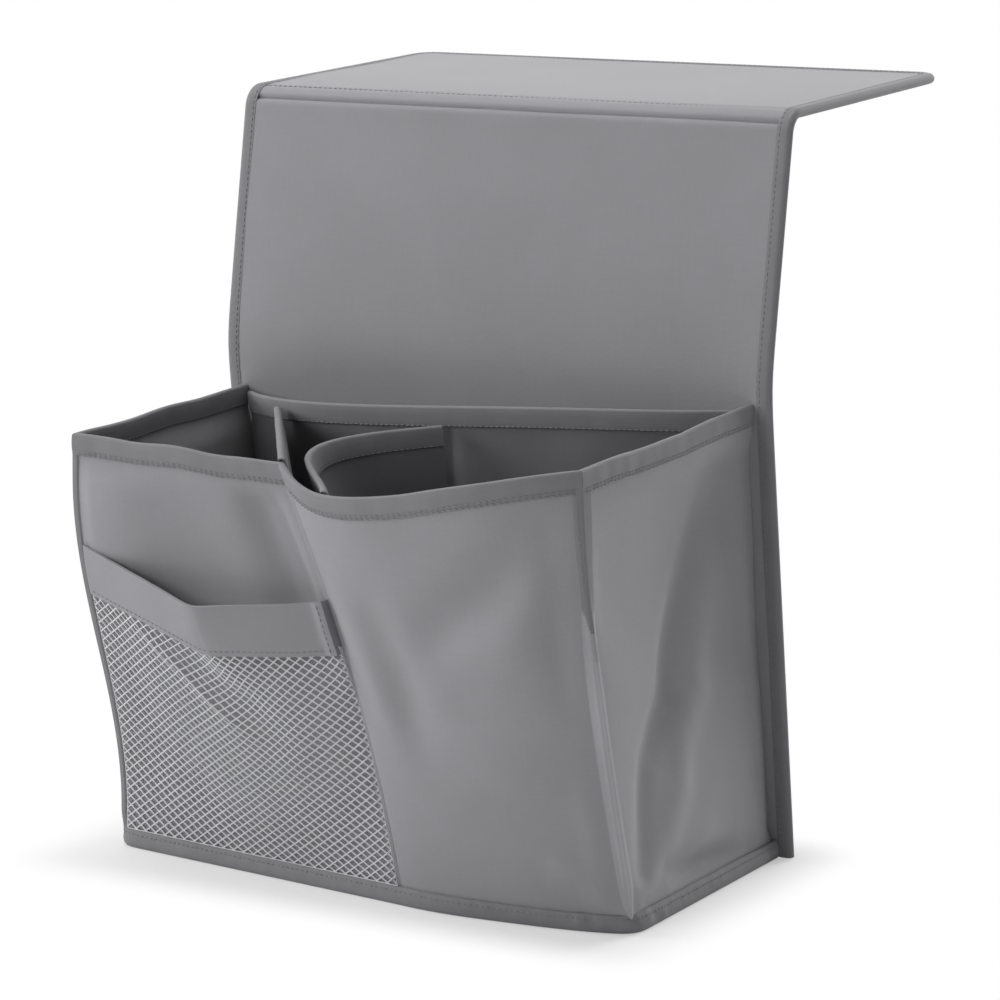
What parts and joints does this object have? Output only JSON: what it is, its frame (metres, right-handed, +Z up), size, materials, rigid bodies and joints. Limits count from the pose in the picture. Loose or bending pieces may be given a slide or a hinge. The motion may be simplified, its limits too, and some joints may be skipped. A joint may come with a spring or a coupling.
{
  "type": "bedside caddy",
  "caption": "Sewn fabric bedside caddy: a divided open pouch with a mesh front pocket and a rear slot on a stiffened back panel, whose hinged flap tucks under a mattress.",
  "frame": {"origin": "middle of the base's underside, on the surface that the pouch stands on", "axes": "+X to the right as seen from the front, -Y out of the front of the pouch, +Z up"},
  "size_m": [0.32, 0.386, 0.3861],
  "materials": {
    "cloth": "matte",
    "lining": "matte",
    "tape": "matte",
    "net": "matte",
    "board": "matte"
  },
  "bodies": {
    "caddy_body": {"back_front_cover": "cloth", "back_board": "board", "back_rear_cover": "cloth", "back_binding_left": "tape", "back_binding_right": "tape", "hinge_strip": "cloth", "left_gusset": "cloth", "front_left_panel": "cloth", "front_right_panel": "cloth", "right_gusset": "cloth", "left_gusset_rim": "tape", "front_left_rim": "tape", "front_right_rim": "tape", "right_gusset_rim": "tape", "corner_strip_left": "tape", "front_seam_strip": "tape", "corner_strip_right": "tape", "base_band": "tape", "base_cover": "cloth", "base_board": "board", "base_lining": "lining", "rear_pocket_sheet": "lining", "rear_pocket_rim": "tape", "cross_divider": "lining", "cross_divider_rim": "tape", "curved_divider": "lining", "curved_divider_rim": "tape", "mesh_pocket_hem": "cloth", "mesh_net_left": "net", "mesh_net_right": "net"},
    "flap": {"flap_upper_cover": "cloth", "flap_board": "board", "flap_lower_cover": "cloth", "flap_binding": "tape"}
  },
  "joints": [
    {"name": "flap_fold", "type": "hinge", "parent": "caddy_body", "child": "flap", "pos_m": [0, 0.06597, 0.37446], "axis": [1, 0, 0], "range_deg": [-80, 170], "deforming": ["hinge_strip"]}
  ]
}
